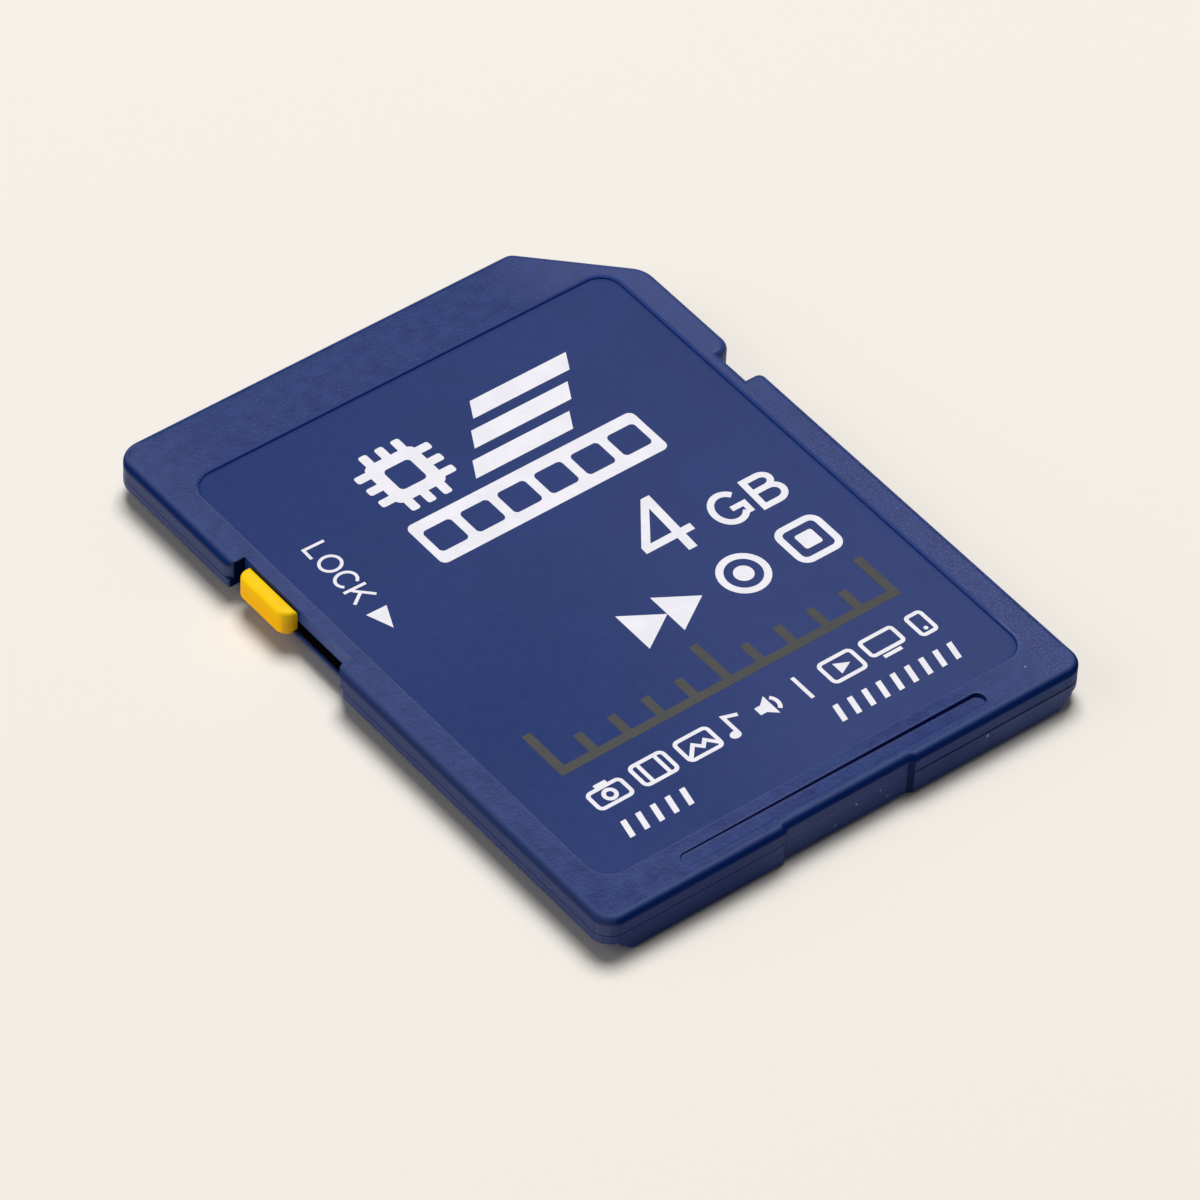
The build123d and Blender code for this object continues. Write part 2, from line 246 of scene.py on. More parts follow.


# %% [markdown]
# ## Pebbled skin of the case
# The shells are dyed plastic from a spark-eroded mould. The steel leaves a very fine pebbled skin, which
# scatters a grey veil over the deep blue. Two blues are mixed by a mottle and a finer grain. Some pits get a
# painted glint, a painted highlight, and towards the right, where the light grazes the skin, a painted
# sparkle and a paler painted haze.

# %% Pebbled skin
def skin_and_painted_glints(place, x, y, grain, pits, mottle):
    """Colour of the skin: two blues by tone, then painted glints in pits, then a painted glitter and a paler
    painted veil towards the right.
    """
    tone = (mottle * 0.5 + grain * 0.5).step(0.3, 0.7)
    blue = tone.mix(seen(9, 38, 98), seen(22, 53, 122))
    # painted highlight: glints in some pits
    painted_glint = pits.step(0.26, 0.08) * noise(place, 0.5 * mm).step(0.45, 0.6)
    skin = (painted_glint * 0.6).mix(blue, seen(66, 86, 152))
    # painted highlight: a sparkle towards the right, then a paler painted haze
    painted_sparkle = grain.step(0.48, 0.68) * x.step(9.5, 11) * y.step(8, -4)
    lively = (painted_sparkle * 0.4).mix(skin, seen(88, 92, 158))
    painted_haze = x.step(6, 11) * y.step(0, 10)
    return (painted_haze * 0.3).mix(lively, seen(66, 80, 140))


print("skin:", skin_and_painted_glints.__name__)


# %% [markdown]
# ## Painted shade and light round the label and in the groove
# The far edges of the label recess are rounded, and a soft, deep line of painted shade runs along them,
# while painted light lifts the near ones to the tone of the rim. The far side of the fingernail groove gets
# a dark line of painted shade as well. Each is a mask on the distance from the recess's outline, or on Y, so
# it fades as the rounding does.

# %% Lines on the case
def recess_lines(x, y, z):
    """Masks along the recess's outline on the upper side: far line of painted shade, its dull core, and
    painted light on the near line.
    """
    outside = past_box(x, y - recess_middle, recess_core, recess_radius)
    upper = z.step(1.80, 1.85)
    far_right = x.step(9.3, 10.2) * y.step(-12.5, -11.5)
    far = upper * far_right.larger(y.step(12.0, 12.5))
    # painted shade: a soft dark line along the far edges of the recess
    far_shade_line = between(outside, -0.05, 0.22, 0.12) * far
    dull = between(outside, -0.02, 0.12, 0.02) * far
    # painted light: lifts the near edges of the recess to the tone of the rim
    near_painted_light = between(outside, -0.02, 0.13, 0.03) * (upper - far)
    return far_shade_line, dull, near_painted_light


def groove_shade_line(x, y, z):
    """Mask of painted shade on the groove's far side: between its ends, in a narrow band of Y, near the
    upper face.
    """
    return between(x, *groove_ends, 0.3) * between(y, *groove_far_side, 0.13) * z.step(1.7, 1.8)


print("lines:", recess_lines.__name__, groove_shade_line.__name__)


# %% [markdown]
# ## Painted light and painted shade
# Painted light makes the blue paler where shade falls: on the far walls of the label recess, the lip over
# the slot, the left edge, where a painted highlight runs along the brow, and most of the parting line. A
# fine painted sparkle lies on the left recess wall. Inside the slot, on the right end of the dent and on the
# parting line beside it, near-black painted shade stands for the dark there. Masks keep all of that in one
# material.

# %% Painted light and shade
def recess_walls(x, y, z):
    """Mask of the recess's walls: inside its box, between its floor and the upper face."""
    inside = between(x, *recess_sides, 0.05) * between(y, *recess_ends, 0.05)
    return inside * between(z, *recess_heights, 0.01)


def painted_light_places(x, y, z):
    """Mask of painted light on the far recess walls, the lip and the parting line at the left and rear,
    and of a painted highlight on the left brow.
    """
    # painted light on the far recess walls, the lip and the parting line; a painted highlight on the brow
    far_walls = recess_walls(x, y, z) * (x.step(8, 9) + y.step(11, 12))
    lip = between(x, *lip_sides, 0.01) * between(y, *slot_ends, 0.05)
    outer_sides = x.step(-11.9, -11.94) + x.step(5, 2) * y.step(-15.7, -15.8)
    seam = between(z, *seam_heights, 0.005) * outer_sides
    brow = between(x, *brow_sides, 0.05) * z.step(2.05, 2.09) * (0.1 + y.step(0, 4) * 0.5)
    return far_walls + lip + seam + brow


def painted_wall_sparkle(place, x, y, z):
    """Mask of a painted glitter, a painted highlight, on the left recess wall, broken up by a fine noise."""
    return recess_walls(x, y, z) * noise(place, 0.16 * mm).step(0.5, 0.6) * x.step(-9, -10)


def painted_shade_places(x, y, z):
    """Mask of painted shade: the slot, with a share of the dent's right ramp and of the parting line to the
    right of it.
    """
    # painted shade: the slot's inside, the dent's right ramp and the parting line beside it
    trench = between(x, *slot_sides, 0.08) * between(y, *slot_ends, 0.1) * between(z, *slot_heights, 0.02)
    rear = y.step(*rear_plane)
    ramp = between(x, *dent_ramp, 0.08) * rear * between(z, 0.1, 1.9, 0.05)
    joint_low, joint_high = seam_heights[0] - 0.025, seam_heights[1] + 0.03
    joint = between(z, joint_low, joint_high, 0.02) * x.step(3.2, 3.6) * rear
    return trench + ramp * 0.65 + joint * 0.75


print("painted_light:", painted_light_places.__name__, painted_wall_sparkle.__name__, "dark:", painted_shade_places.__name__)


# %% [markdown]
# ## Gloss of the case
# How much grey veil lies on the blue depends on roughness. It is never even on a moulding: a cloud and the
# mottle change it a little, hands have dulled the right, left and front of the rim, and the rear and left
# sides are duller still. Every term is small, and their sum is the roughness.

# %% Gloss of the case
def rear_face(y, z):
    """Mask of the flat rear side below the rounded edge."""
    return y.step(*rear_plane) * z.step(turn_high, turn_low)


def case_sheen(x, y, z, cloud, mottle):
    """Roughness: an even level, plus cloud and mottle, plus what the rim's veils and the two sides add."""
    right_veil = x.step(5, 11) * (0.115 + y.step(-4, 12) * 0.065)
    left_veil = x.step(-8, -11.5) * (y.step(-6, 6) * 0.075 - 0.015)
    end_veils = y.step(12.5, 14) * 0.02 - y.step(-8, -15) * 0.04
    rear_dull = 0.16 + x.step(-6, 6) * 0.16 - x.step(5, 9) * z.step(1.25, 1.15) * 0.18
    left_dull = 0.11 + y.step(11, -10) * 0.16
    sides = rear_face(y, z) * rear_dull + x.step(*left_plane) * left_dull
    return 0.26 + cloud * 0.05 + mottle * 0.09 + right_veil + left_veil + end_veils + sides


print("gloss:", case_sheen.__name__)


# %% [markdown]
# ## Matt edges with painted shade
# On the rounded rear and left edges a glossy shader would draw a bright line, so a second shader without
# gloss covers them. Its colour is painted darker as they turn down, as painted shade, and paler grey at the
# lowest part of the left edge, as a painted reflection. The same cover calms the left of the rear side with
# painted shade and paints shade dark on the wall at the front end of the lock notch.

# %% Matt edges with painted shade
def matt_cover_with_painted_shade(x, y, z):
    """Matt shader values and their share. The distance to the outline, which follows the dent, says how far
    an edge has turned, and the colour runs from the rim's blue to a painted shade with that distance."""
    dented = y - between(x, *dent_ends, 0.3) * dent_depth
    rim = past_box(x, dented, case_core, case_radius)
    near_sides = y.step(-14.6, -15.0).larger(x.step(-10.6, -11.0))
    turn = near_sides * rim.step(-0.35, -0.29) * z.step(turn_low, turn_high)
    left_side = x.step(-11.2, -11.7)
    lowest = z.step(1.95, 1.80)
    rim_blue = left_side.mix(seen(68, 83, 126), seen(64, 77, 120))
    # painted shade: the edge's colour darkens as it turns down; the lowest part of the left edge is a paler
    # painted reflection
    rear_painted_shade = lowest.mix(seen(9, 33, 90), seen(30, 44, 100))
    left_painted_shade = lowest.mix(y.step(2, 8).mix(seen(42, 58, 106), seen(18, 42, 100)), seen(62, 70, 112))
    edge_blue = rim.step(-0.27, -0.07).mix(rim_blue, left_side.mix(rear_painted_shade, left_painted_shade))
    notch_end = between(y, slot_ends[1] - 0.04, slot_ends[1] + 0.04, 0.02)
    # painted shade: the wall at the front end of the lock notch is painted dark
    notch_wall_shade = notch_end * x.step(-11.1, -11.2) * between(z, 0.2, 2.09, 0.1)
    matte = {
        "Base Color": notch_wall_shade.mix(edge_blue, seen(8, 24, 74)),
        "Roughness": 0.7,
        "Specular IOR Level": 0.0,
    }
    # the matt cover and its painted shade also lie on part of the rear side
    calmed = rear_face(y, z) * (x.step(9, 5) * 0.3 + x.step(-2, -6) * 0.3)
    return matte, (turn + calmed).larger(notch_wall_shade)


print("matt cover:", matt_cover_with_painted_shade.__name__)


# %% [markdown]
# ## The case finish
# Now the layers go on one over the other: the skin with its painted glints, the lines of painted shade and
# painted light, the painted light on walls, lip and seam, the painted sparkle, the dust and the painted
# shade. Each one mixes its colour over the last by its mask. Grain and pits also drive the bump, a few
# thousandths of a millimetre deep.

# %% Case finish
def case_plastic():
    """Dyed plastic: layers of colour over the skin, painted light and shade among them, a roughness with
    terms for the lines, a matt cover.
    """
    material, place = start_finish("case_plastic")
    x, y, z = [along(place, axis) for axis in "XYZ"]
    cloud = noise(place, 1.6 * mm, 4.0, 0.6)
    mottle = noise(place, 0.7 * mm, 3.0, 0.6)
    grain = noise(place, 0.10 * mm, 2.0, 0.6)
    pits = pebbles(place, 0.17 * mm)
    far_shade_line, dull, near_painted_light = recess_lines(x, y, z)
    groove = groove_shade_line(x, y, z)
    # painted shade in the slot, on the dent's right ramp and on the parting line beside it
    dark = painted_shade_places(x, y, z)
    specks = sum(near(place, *speck) for speck in dust)
    # the skin carries painted glints, a painted sparkle and a painted haze
    colour = skin_and_painted_glints(place, x, y, grain, pits, mottle)
    # painted shade along the far edges of the recess
    colour = (far_shade_line * 0.8).mix(colour, seen(16, 44, 108))
    # painted light on the near edges of the recess
    colour = (near_painted_light * 0.7).mix(colour, seen(62, 76, 124))
    # painted shade along the far side of the groove
    colour = (groove * 0.9).mix(colour, seen(10, 34, 104))
    # painted light on the far recess walls, the lip and the parting line, and a painted highlight on the brow
    colour = painted_light_places(x, y, z).mix(colour, seen(26, 66, 150))
    # painted sparkle, a painted highlight, on the left recess wall
    colour = (painted_wall_sparkle(place, x, y, z) * 0.7).mix(colour, seen(84, 98, 150))
    colour = (specks * 0.7).mix(colour, seen(170, 172, 190))
    values = {
        # near black over the painted shade
        "Base Color": dark.mix(colour, seen(3, 4, 9)),
        "Roughness": case_sheen(x, y, z, cloud, mottle) + dark * 0.7 + dull * 0.3 + groove * 0.25,
        "Specular IOR Level": 0.36,
        "Normal": bump(place, grain * 0.5 + pits * 0.5, 0.0045 * mm),
    }
    return end_finish(material, place, values, *matt_cover_with_painted_shade(x, y, z))


finishes = {"shell": case_plastic()}


# %% [markdown]
# ## Label film
# The label is a printed film, smoother than the case and with only a slight orange peel. It grows a little
# rougher to the right, which lifts the veil on it, is glossier in its near left corner and at its far edges.
# A plain blue with a slow cloud is enough for the colour.

# %% Label film
def label_film():
    """Blue film: the roughness rises with X and falls at the far edges and in the near left corner."""
    material, place = start_finish("label_film")
    x, y = [along(place, axis) for axis in "XY"]
    cloud = noise(place, 3.5 * mm, 3.0)
    peel = noise(place, 0.5 * mm, 2.0)
    outside = past_box(x, y - recess_middle, recess_core, recess_radius)
    far_edge = outside.step(-0.22, 0.0) * x.step(9, 10).larger(y.step(11.8, 12.3))
    near_left = x.step(3, -6) * y.step(5, -6)
    values = {
        "Base Color": cloud.step(0.3, 0.7).mix(seen(13, 44, 107), seen(16, 46, 112)),
        "Roughness": 0.26 + x.step(-12, 12) * 0.06 + peel * 0.04 - far_edge * 0.06 - near_left * 0.028,
        "Specular IOR Level": 0.36,
        "Normal": bump(place, peel, 0.001 * mm),
    }
    return end_finish(material, place, values)


finishes["label"] = label_film()


# %% [markdown]
# ## Slider
# The slider is satin yellow plastic that lets some light through, so its outer side stays warm even in its
# own shade. Light scattered inside the plastic could be worked out by the shader, but that is slow and hard
# to aim at one side, so a faint emission on the outer side stands for it as painted light. Its yellow is
# painted orange lower down, as painted shade.

# %% Slider
def slider_plastic():
    """Yellow that turns towards orange lower down as painted shade, with painted light from an emission on
    the outermost tenths of a millimetre.
    """
    material, place = start_finish("slider_plastic")
    x, z = [along(place, axis) for axis in "XZ"]
    cloud = noise(place, 0.9 * mm, 3.0)
    grain = noise(place, 0.09 * mm, 2.0)
    yellow = cloud.step(0.3, 0.7).mix(seen(255, 204, 4), seen(255, 212, 10))
    # painted light: the outer side glows with its own emission
    painted_glow = x.step(-11.78, -11.96)
    values = {
        # painted shade: orange lower down
        "Base Color": z.step(1.3, 1.95).mix(seen(255, 194, 0), yellow),
        "Roughness": 0.36 + cloud * 0.10 + painted_glow * 0.4,
        "Specular IOR Level": 0.12,
        "Emission Color": painted_glow.mix(seen(0, 0, 0), seen(255, 170, 0)),
        "Emission Strength": 0.23,
        "Normal": bump(place, grain, 0.003 * mm),
    }
    return end_finish(material, place, values)


finishes["slider"] = slider_plastic()


# %% [markdown]
# ## Board, pads and chips
# Through the windows in the back the board shows green under its lacquer, with pads plated in gold. The chips
# inside are black resin. These three differ in colour, metal and grain only, so one function makes them.

# %% Board, pads and chips
def clouded(name, colours, cloud, grain, gloss, depth, metal=0.0):
    """Two colours mixed by a cloud, over a bump of a finer grain, both given as a size and a detail.

    The roughness is the first number of gloss plus the second one times the cloud.
    """
    material, place = start_finish(name)
    blots = noise(place, cloud[0] * mm, cloud[1])
    relief = noise(place, grain[0] * mm, grain[1])
    values = {
        "Base Color": blots.step(0.3, 0.7).mix(*colours),
        "Metallic": metal,
        "Roughness": gloss[0] + blots * gloss[1],
        "Normal": bump(place, relief, depth * mm),
    }
    return end_finish(material, place, values)


lacquer = seen(16, 70, 42), seen(26, 92, 56)
gold = seen(226, 176, 88), seen(240, 196, 108)
resin = seen(26, 26, 28), seen(40, 40, 43)
finishes["board"] = clouded("board_lacquer", lacquer, (1.5, 3.0), (0.2, 2.0), (0.30, 0.15), 0.004)
finishes["contact"] = clouded("pad_gold", gold, (0.8, 3.0), (0.05, 2.0), (0.24, 0.16), 0.001, metal=1.0)
finishes["chip"] = clouded("chip_resin", resin, (0.12, 3.0), (0.12, 3.0), (0.45, 0.2), 0.006)


# %% [markdown]
# ## Small parts
# The capacitors and resistors beside the controller are ceramic with a bare tin cap at each end, where they
# are soldered. Each part lies along X, so the distance from its middle tells ceramic from tin.

# %% Small parts
cap_start, cap_full = 0.55, 0.6


def capped_ceramic(name, node, dark, light):
    """Ceramic with tin caps: the distance from the part's middle along X, past a share of it, is metal."""
    material, place = start_finish(name)
    low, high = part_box(node)
    middle, reach = (low.x + high.x) / 2 / mm, (high.x - low.x) / 2 / mm
    cap = abs(along(place, "X") - middle).step(cap_start * reach, cap_full * reach)
    cloud = noise(place, 0.2 * mm, 3.0)
    values = {
        "Base Color": cap.mix(cloud.step(0.3, 0.7).mix(dark, light), seen(205, 205, 200)),
        "Metallic": cap,
        "Roughness": 0.35 + cloud * 0.15,
        "Normal": bump(place, cloud, 0.004 * mm),
    }
    return end_finish(material, place, values)


tan = seen(140, 104, 72), seen(164, 124, 88)
black = seen(20, 20, 24), seen(32, 32, 36)
finishes["capacitor"] = capped_ceramic("capacitor_ceramic", "capacitor_1", *tan)
finishes["resistor"] = capped_ceramic("resistor_ceramic", "resistor_1", *black)


# %% [markdown]
# ## Dress the nodes
# The record names a material slot for every solid, and the finishes are stored under those names, so one loop
# dresses them all.

# %% Dress the nodes
for part in frame["record"]["subparts"]:
    nodes[part["node"]].data.materials[0] = finishes[part["material_slot"]]
print("finishes:", sorted(finishes))


# %% [markdown]
# ## Ink on the film
# Print on a card is a layer of ink, some hundredths of a millimetre at most. An image would blur when the
# camera comes close, so each mark is a thin solid. Two forms are enough: a line, which is a flat profile
# carried along a path, and a field, which is a closed outline lifted off the film.

# %% Lines and fields
quarter_turn = np.array([[0, 1], [-1, 0]])


def line(path, width, closed=False):
    """Ink line. At each point the sideways direction halves the turn, stretched by 1 / cos(turn / 2).

    The profile is a rectangle: low left, high left, high right, low right. Heights are 0 and 1 here.
    """
    path = np.asarray(path, float)
    ahead = np.roll(path, -1, axis=0) - path
    if not closed:
        ahead[-1] = ahead[-2]
    ahead /= np.linalg.norm(ahead, axis=1, keepdims=True)
    behind = np.roll(ahead, 1, axis=0)
    if not closed:
        behind[0] = ahead[0]
    side = (ahead + behind) @ quarter_turn
    side /= np.linalg.norm(side, axis=1, keepdims=True)
    side /= (side * (ahead @ quarter_turn)).sum(axis=1, keepdims=True)
    edges = path[:, None] + np.array([1, 1, -1, -1])[:, None] * side[:, None] * width / 2
    heights = np.broadcast_to(np.array([0, 1, 1, 0.0])[:, None], (len(path), 4, 1))
    points = np.concatenate([edges, heights], axis=-1).reshape(-1, 3)
    row = np.arange(len(path) if closed else len(path) - 1)[:, None]
    corner = np.arange(4)
    after = (row + 1) % len(path)
    turn = (corner + 1) % 4
    quads = [row * 4 + corner, row * 4 + turn, after * 4 + turn, after * 4 + corner]
    faces = np.stack(np.broadcast_arrays(*quads), axis=-1).reshape(-1, 4).tolist()
    ends = [] if closed else [[3, 2, 1, 0], (len(points) - 4 + corner).tolist()]
    return points, faces + ends


def field(outline):
    """Ink field: a closed outline, taken anticlockwise, at height 1 and again at height 0."""
    outline = np.asarray(outline, float)
    count = len(outline)
    upper = np.column_stack([outline, np.ones(count)])
    lower = np.column_stack([outline, np.zeros(count)])
    here = np.arange(count)
    after = np.roll(here, -1)
    walls = np.stack([here, here + count, after + count, after], axis=-1)
    caps = [here.tolist(), (here[::-1] + count).tolist()]
    return np.concatenate([upper, lower]), caps + walls.tolist()


print("faces of a short line:", len(line([(0, 0), (1, 0)], 0.1)[1]))


# %% [markdown]
# ## Curves
# Every mark starts from one of a few outlines: a stretch of an oval, a rounded box, a slanted bar or plain
# corners. Letters and signs are drawn near 0, 0 and then set on the card, so one function moves, turns and
# leans them.

# %% Curves
def oval(x, y, width, height, start=0, end=360, count=32):
    """Points of an oval: the middle plus half the width times cosine and half the height times sine."""
    angle = np.radians(np.linspace(start, end, count, endpoint=end - start != 360))
    return np.column_stack([x + width / 2 * np.cos(angle), y + height / 2 * np.sin(angle)])


def rounded_box(x, y, width, height, radius, count=6):
    """Quarter circles at the four corners, anticlockwise from the upper right one."""
    angle = np.radians(np.arange(4)[:, None] * 90 + np.linspace(0, 90, count))
    to_right = np.array([1, -1, -1, 1])[:, None]
    to_top = np.array([1, 1, -1, -1])[:, None]
    across = x + to_right * (width / 2 - radius) + radius * np.cos(angle)
    upwards = y + to_top * (height / 2 - radius) + radius * np.sin(angle)
    return np.column_stack([across.ravel(), upwards.ravel()])


def slanted_bar(x, y, width, height, slant):
    """Bar with level ends at y and y + height, whose upper end is moved along by slant."""
    return np.array([(x, y), (x + width, y), (x + width + slant, y + height), (x + slant, y + height)])


def set_marks(marks, x, y, turn=0.0, lean=0.0):
    """Marks moved to x, y after a lean, which adds a share of the height to X, and a turn in degrees."""
    cos, sin = math.cos(math.radians(turn)), math.sin(math.radians(turn))
    placing = np.array([[1, 0], [lean, 1]]) @ [[cos, sin], [-sin, cos]]
    placed = []
    for points, faces in marks:
        flat = points[:, :2] @ placing + [x, y]
        placed.append((np.column_stack([flat, points[:, 2]]), faces))
    return placed


print("points of a rounded box:", len(rounded_box(0, 0, 2, 1, 0.2)))


# %% [markdown]
# ## Lock mark
# Beside the slider stands a word that says what it does, with an arrow along its travel. Letters of this
# plain kind are strokes of one width, so each is a path: an oval for the O, most of one for the C, and
# straight strokes for the rest. The whole mark is turned to run along the edge.

# %% Lock mark
lock_stroke = 0.14
lock_cap = 1.06
letter_l = [line([(0.07, lock_cap), (0.07, 0.07), (0.65, 0.07)], lock_stroke)]
letter_o = [line(oval(0.49, 0.53, 0.84, 0.94), lock_stroke, closed=True)]
letter_c = [line(oval(0.47, 0.53, 0.80, 0.94, 40, 320), lock_stroke)]
letter_k = [
    line([(0.07, 0), (0.07, lock_cap)], lock_stroke),
    line([(0.12, 0.34), (0.80, lock_cap)], lock_stroke),
    line([(0.36, 0.62), (0.82, 0)], lock_stroke),
]
lock_row = [(letter_l, 0.0), (letter_o, 0.78), (letter_c, 1.88), (letter_k, 2.86)]
lock_letters = [mark for letter, x in lock_row for mark in set_marks(letter, x, 0)]
lock_arrow = [field([(4.40, 0.04), (5.57, 0.53), (4.40, 1.02)])]
lock_mark = set_marks(lock_letters + lock_arrow, -9.17, 7.16, turn=-91.6)
print("lock marks:", len(lock_mark))


# %% [markdown]
# ## Capacity
# The capacity is a plain number with its unit. The numeral is large, so its diagonal is a filled field
# between two strokes. The letters lean a little, and the bowls of the B are half ovals joined to its stem.

# %% Capacity
numeral = [
    line([(1.76, 0), (1.76, 3.38)], 0.42),
    line([(0, 1.0), (2.44, 1.0)], 0.38),
    field([(0, 1.19), (0.46, 1.19), (1.55, 2.78), (1.55, 3.38)]),
]
letter_g = [
    line(oval(0.86, 0.935, 1.40, 1.60, 40, 322), 0.30),
    line([(0.92, 0.82), (1.70, 0.82)], 0.28),
    line([(1.56, 0.24), (1.56, 0.90)], 0.28),
]
upper_bowl = np.concatenate([[(0.2, 1.72)], oval(0.84, 1.37, 0.84, 0.70, 90, -90, 12), [(0.2, 1.02)]])
lower_bowl = np.concatenate([[(0.2, 1.02)], oval(0.90, 0.585, 0.96, 0.87, 90, -90, 12), [(0.2, 0.15)]])
letter_b = [line([(0.15, 0), (0.15, 1.87)], 0.30), line(upper_bowl, 0.30), line(lower_bowl, 0.30)]
capacity_foot = -1.86
capacity_mark = [
    *set_marks(numeral, 1.72, capacity_foot, lean=0.06),
    *set_marks(letter_g, 5.10, capacity_foot, lean=0.05),
    *set_marks(letter_b, 7.10, capacity_foot, lean=0.05),
]
print("capacity marks:", len(capacity_mark))


# %% [markdown]
# ## Chip, stripes and film
# The rest of the print is plain pictures. The largest is a chip with speed stripes over a strip of film. The
# chip's body is a rounded box, crossed by longer bars whose ends are its pins. The windows are fields of the
# film's own blue, printed on top, because a hole in a field would need a second outline.

# %% Chip, stripes and film
chip_x, chip_y, chip_side = -3.25, 8.15, 2.5
pin_width, pin_span = 0.42, 3.7
pin_places = np.array([-0.8, 0.0, 0.8])
chip_mark = [field(rounded_box(chip_x, chip_y, chip_side, chip_side, 0.35))]
chip_mark += [field(rounded_box(chip_x + pin, chip_y, pin_width, pin_span, 0.12)) for pin in pin_places]
chip_mark += [field(rounded_box(chip_x, chip_y + pin, pin_span, pin_width, 0.12)) for pin in pin_places]
stripe_feet = [(0.9, 9.1), (-0.1, 7.7), (-1.1, 6.3)]
stripes = [field(slanted_bar(x, y, 4.9, 0.9, 0.5)) for x, y in stripe_feet]
film_x, film_y, film_width, film_height = 0.6, 4.47, 11.4, 2.55
film_strip = [field(rounded_box(film_x, film_y, film_width, film_height, 0.3))]
window_places = film_x + 1.85 * np.arange(-2.5, 3)
film_windows = [field(rounded_box(window, film_y, 1.4, 1.35, 0.2)) for window in window_places]
chip_window = [field(rounded_box(chip_x, chip_y, 1.3, 1.3, 0.2))]
print("chip:", len(chip_mark), "stripes:", len(stripes), "windows:", len(film_windows + chip_window))


# %% [markdown]
# ## Player keys and the scale
# Below the capacity is a row of keys as on a player, and under it a grey scale like a ruler's: one long foot
# with ticks, every fifth of them taller.

# %% Player keys and the scale
key_row, key_size, key_core, key_stroke = -4.15, 1.94, 0.86, 0.32
key_low, key_high = key_row - 1.1, key_row + 1.1
keys = [
    field([(-1.4, key_low), (0.35, key_row), (-1.4, key_high)]),
    field([(0.35, key_low), (2.1, key_row), (0.35, key_high)]),
    line(oval(4.2, key_row, key_size, key_size), key_stroke, closed=True),
    field(oval(4.2, key_row, key_core, key_core)),
    line(rounded_box(7.5, key_row, key_size, key_size, 0.4), key_stroke, closed=True),
    field(rounded_box(7.5, key_row, key_core, key_core, 0.12)),
]
scale_left, scale_right, scale_foot, scale_stroke = -8.4, 8.56, -8.46, 0.42
tick_count, tick_top, tall_top = 11, -7.2, -6.1
tick_places = np.linspace(scale_left + scale_stroke / 2, scale_right - scale_stroke / 2, tick_count)
tick_tops = np.where(np.arange(tick_count) % 5 == 0, tall_top, tick_top)
scale = [line([(scale_left, scale_foot), (scale_right, scale_foot)], scale_stroke)]
scale += [line([(x, scale_foot), (x, top)], scale_stroke) for x, top in zip(tick_places, tick_tops)]
print("keys:", len(keys), "scale lines:", len(scale))


# %% [markdown]
# ## Small signs
# Small signs show the things that a card stores: photos, films, pictures, music, sound, and the machines that
# play them. Each is drawn round 0, 0 with one stroke, and several share the same frame.

# %% Small signs
sign_stroke = 0.18
wide_frame = line(rounded_box(0, 0, 1.6, 1.15, 0.2), sign_stroke, closed=True)
camera_sign = [
    line(rounded_box(0, -0.08, 1.6, 0.95, 0.2), sign_stroke, closed=True),
    line(oval(0, -0.08, 0.5, 0.5), sign_stroke, closed=True),
    field(rounded_box(0, 0.55, 0.6, 0.2, 0.05)),
]
reel_sign = [
    wide_frame,
    line([(-0.42, -0.6), (-0.42, 0.6)], sign_stroke),
    line([(0.42, -0.6), (0.42, 0.6)], sign_stroke),
]
hills = [(-0.7, -0.45), (-0.2, 0.1), (0.1, -0.2), (0.35, 0.05), (0.75, -0.4)]
picture_sign = [wide_frame, line(hills, sign_stroke)]
note_stem = [(-0.14, -0.45), (-0.14, 0.57), (0.45, 0.37)]
note_sign = [field(oval(-0.3, -0.45, 0.5, 0.4)), line(note_stem, sign_stroke)]
horn = [(-0.55, -0.22), (-0.25, -0.22), (0.15, -0.55), (0.15, 0.55), (-0.25, 0.22), (-0.55, 0.22)]
speaker_sign = [field(horn), line(oval(0.05, 0, 0.8, 0.9, -50, 50, 12), sign_stroke)]
player_sign = [wide_frame, field([(-0.25, -0.32), (0.4, 0), (-0.25, 0.32)])]
screen_sign = [
    line(rounded_box(0, 0.13, 1.6, 0.9, 0.15), sign_stroke, closed=True),
    line([(-0.45, -0.58), (0.45, -0.58)], sign_stroke),
]
phone_sign = [
    line(rounded_box(0, 0, 0.72, 1.15, 0.15), sign_stroke, closed=True),
    field(oval(0, -0.3, 0.2, 0.2, count=12)),
]
print("signs drawn with a stroke of", sign_stroke, "mm")


# %% [markdown]
# ## Rows of signs and dashes
# The signs stand in one row with an upright stroke between its two groups, and two runs of slanted dashes
# close the print below them. Each row is a list of places, so that one number moves a sign.

# %% Rows of signs and dashes
sign_row = -10.43
sign_places = [
    (camera_sign, -7.5),
    (reel_sign, -5.3),
    (picture_sign, -3.1),
    (note_sign, -1.3),
    (speaker_sign, 0.4),
    (player_sign, 4.1),
    (screen_sign, 6.2),
    (phone_sign, 8.1),
]
signs = [mark for sign, x in sign_places for mark in set_marks(sign, x, sign_row)]
signs += [line([(2.1, -11.1), (2.1, -9.77)], sign_stroke)]
dash_row, dash_gap = -12.8, 0.72
dash_places = np.concatenate([np.arange(5) * dash_gap - 8.3, np.arange(9) * dash_gap + 2.2])
dashes = [field(slanted_bar(x, dash_row, 0.26, 0.9, 0.2)) for x in dash_places]
print("sign marks:", len(signs), "dashes:", len(dashes))


# %% [markdown]
# ## Lay the ink
# Ink dries dull and slightly uneven. White, grey and blue are three pieces, because each has its own
# material. Marks may cross, so each one gets a slightly different height and no two upper faces share a
# plane, and the blue windows lie a little above the white.

# %% Lay the ink
film_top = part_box("front_label")[1].z
ink_height = 0.006 * mm
ink_stagger = 0.0002 * mm
window_lift = 0.02 * mm


